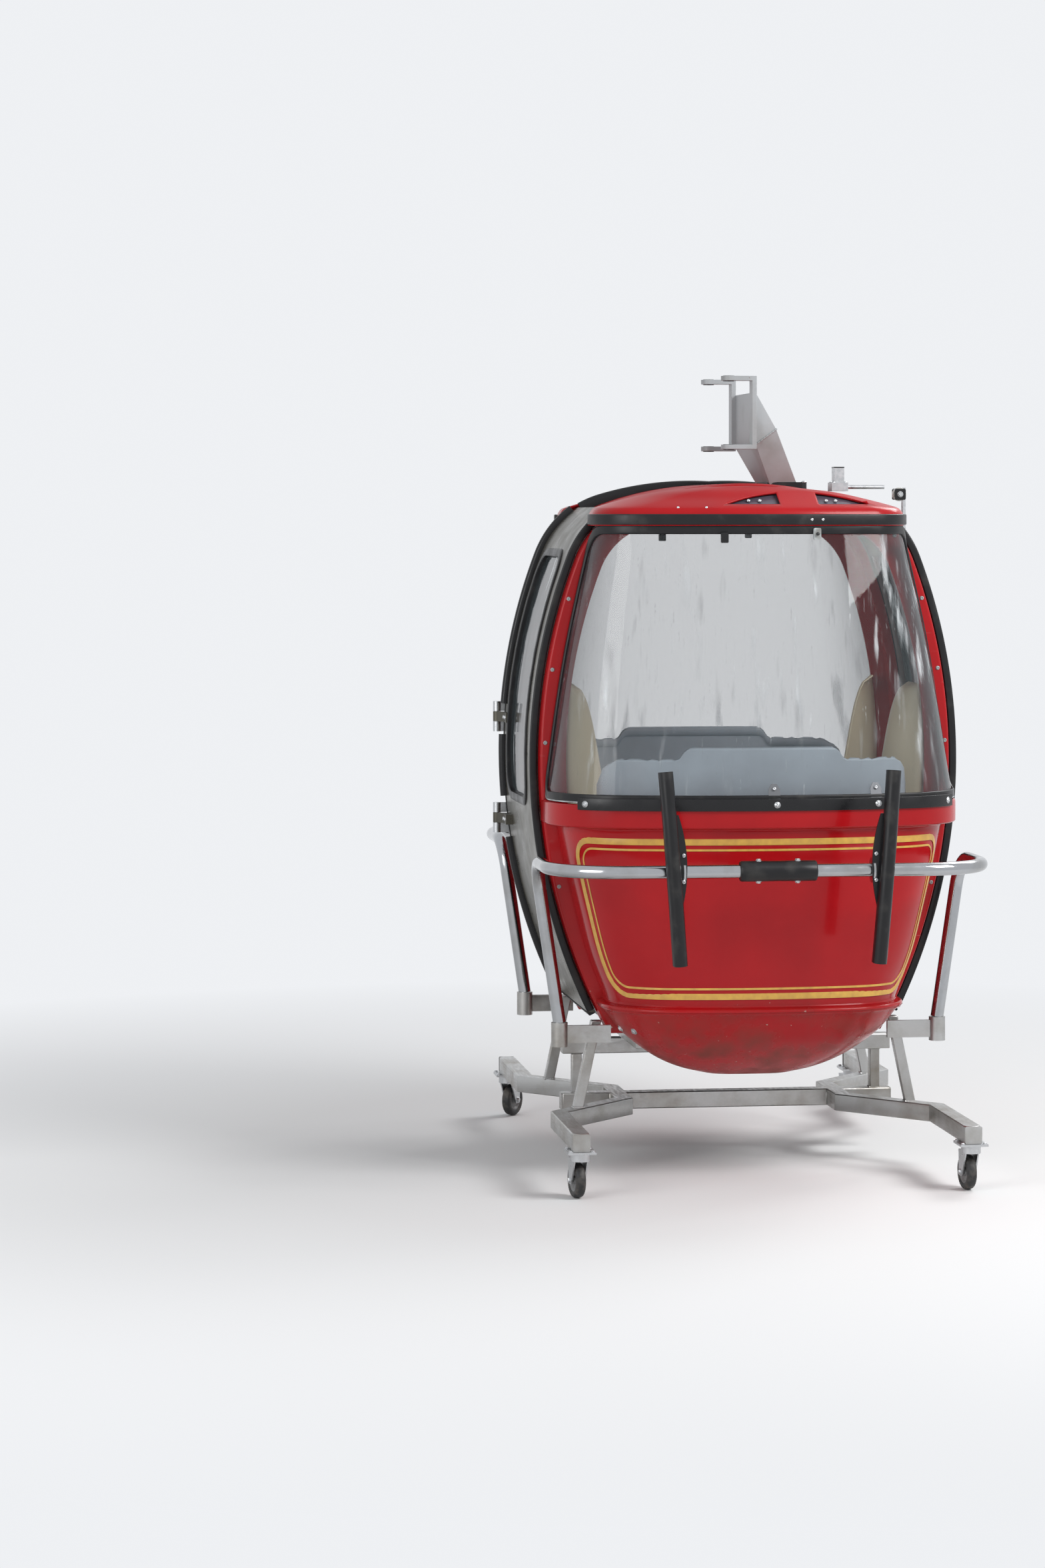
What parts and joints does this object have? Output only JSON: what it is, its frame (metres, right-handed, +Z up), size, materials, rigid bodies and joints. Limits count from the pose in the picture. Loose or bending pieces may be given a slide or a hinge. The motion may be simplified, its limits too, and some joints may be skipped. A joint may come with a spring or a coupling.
{
  "type": "small cable car cabin on a castor trolley",
  "caption": "Egg-shaped gondola cabin with curved clear windows, hinged side doors, bumper hoops and a roof hanger, standing on a tube trolley with castors.",
  "frame": {"origin": "on the floor under the middle of the cabin", "axes": "+Z up, +X towards the front end shell, +Y towards the side with the roof's opening gear"},
  "size_m": [1.7678, 1.334, 2.33],
  "materials": {
    "red_gloss": "glossy red gelcoat on moulded shells, gold stripes, scratched and dusty low down",
    "clear_sheet": "clear bent plastic sheet, lightly scratched and streaked",
    "door_metal": "satin olive-grey metal skin",
    "floor_metal": "worn mill-finish floor pan",
    "bumper_steel": "polished tube with fine scratches",
    "zinc_steel": "bright zinc plate",
    "trolley_steel": "brushed square tube with ground welds",
    "hanger_grey": "light grey weathered paint on steel",
    "black_rubber": "black rubber, slightly shiny",
    "bench_plastic": "pale blue-grey moulded bench",
    "grey_rim": "grey wheel centre",
    "black_tyre": "black rubber tread"
  },
  "bodies": {
    "cabin": {"front_shell": "red_gloss", "rear_shell": "red_gloss", "roof_centre": "red_gloss", "front_window": "clear_sheet", "rear_window": "clear_sheet", "floor_pan": "floor_metal", "underframe": "trolley_steel", "door_hinges": "zinc_steel", "door_gear": "zinc_steel", "front_bumper": "bumper_steel", "rear_bumper": "bumper_steel", "front_bumper_pad": "black_rubber", "rear_bumper_pad": "black_rubber", "front_guard_bars": "black_rubber", "rear_guard_bars": "black_rubber", "bumper_brackets": "zinc_steel", "front_bench": "bench_plastic", "rear_bench": "bench_plastic", "hanger_foot": "black_rubber", "hanger_arm": "hanger_grey", "hanger_yoke": "hanger_grey", "trolley_frame": "trolley_steel", "trolley_posts": "trolley_steel", "castor_plates": "zinc_steel"},
    "door_left": {"door_left_leaf": "door_metal", "door_left_window": "clear_sheet"},
    "door_right": {"door_right_leaf": "door_metal", "door_right_window": "clear_sheet", "door_right_pull": "zinc_steel"},
    "fork_front_left": {"castor_fork_front_left": "zinc_steel"},
    "wheel_front_left": {"castor_hub_front_left": "grey_rim", "castor_tyre_front_left": "black_tyre"},
    "fork_front_right": {"castor_fork_front_right": "zinc_steel"},
    "wheel_front_right": {"castor_hub_front_right": "grey_rim", "castor_tyre_front_right": "black_tyre"},
    "fork_rear_left": {"castor_fork_rear_left": "zinc_steel"},
    "wheel_rear_left": {"castor_hub_rear_left": "grey_rim", "castor_tyre_rear_left": "black_tyre"},
    "fork_rear_right": {"castor_fork_rear_right": "zinc_steel"},
    "wheel_rear_right": {"castor_hub_rear_right": "grey_rim", "castor_tyre_rear_right": "black_tyre"}
  },
  "joints": [
    {"name": "door_left_hinge", "type": "hinge", "parent": "cabin", "child": "door_left", "pos_m": [-0.318, -0.655, 1.145], "axis": [0, 0, -1], "range_deg": [0, 85]},
    {"name": "door_right_hinge", "type": "hinge", "parent": "cabin", "child": "door_right", "pos_m": [-0.318, 0.655, 1.145], "axis": [0, 0, 1], "range_deg": [0, 85]},
    {"name": "swivel_front_left", "type": "hinge", "parent": "cabin", "child": "fork_front_left", "pos_m": [0.8, -0.56, 0.12], "axis": [0, 0, 1], "continuous": true},
    {"name": "spin_front_left", "type": "hinge", "parent": "fork_front_left", "child": "wheel_front_left", "pos_m": [0.76839, -0.56501, 0.05], "axis": [-0.1564, 0.9877, 0], "continuous": true},
    {"name": "swivel_front_right", "type": "hinge", "parent": "cabin", "child": "fork_front_right", "pos_m": [0.8, 0.56, 0.12], "axis": [0, 0, 1], "continuous": true},
    {"name": "spin_front_right", "type": "hinge", "parent": "fork_front_right", "child": "wheel_front_right", "pos_m": [0.76818, 0.55666, 0.05], "axis": [-0.1045, 0.9945, 0], "continuous": true},
    {"name": "swivel_rear_left", "type": "hinge", "parent": "cabin", "child": "fork_rear_left", "pos_m": [-0.8, -0.56, 0.12], "axis": [0, 0, 1], "continuous": true},
    {"name": "spin_rear_left", "type": "hinge", "parent": "fork_rear_left", "child": "wheel_rear_left", "pos_m": [-0.82621, -0.54165, 0.05], "axis": [0.5736, 0.8192, 0], "continuous": true},
    {"name": "swivel_rear_right", "type": "hinge", "parent": "cabin", "child": "fork_rear_right", "pos_m": [-0.8, 0.56, 0.12], "axis": [0, 0, 1], "continuous": true},
    {"name": "spin_rear_right", "type": "hinge", "parent": "fork_rear_right", "child": "wheel_rear_right", "pos_m": [-0.83007, 0.54906, 0.05], "axis": [-0.342, 0.9397, 0], "continuous": true}
  ]
}
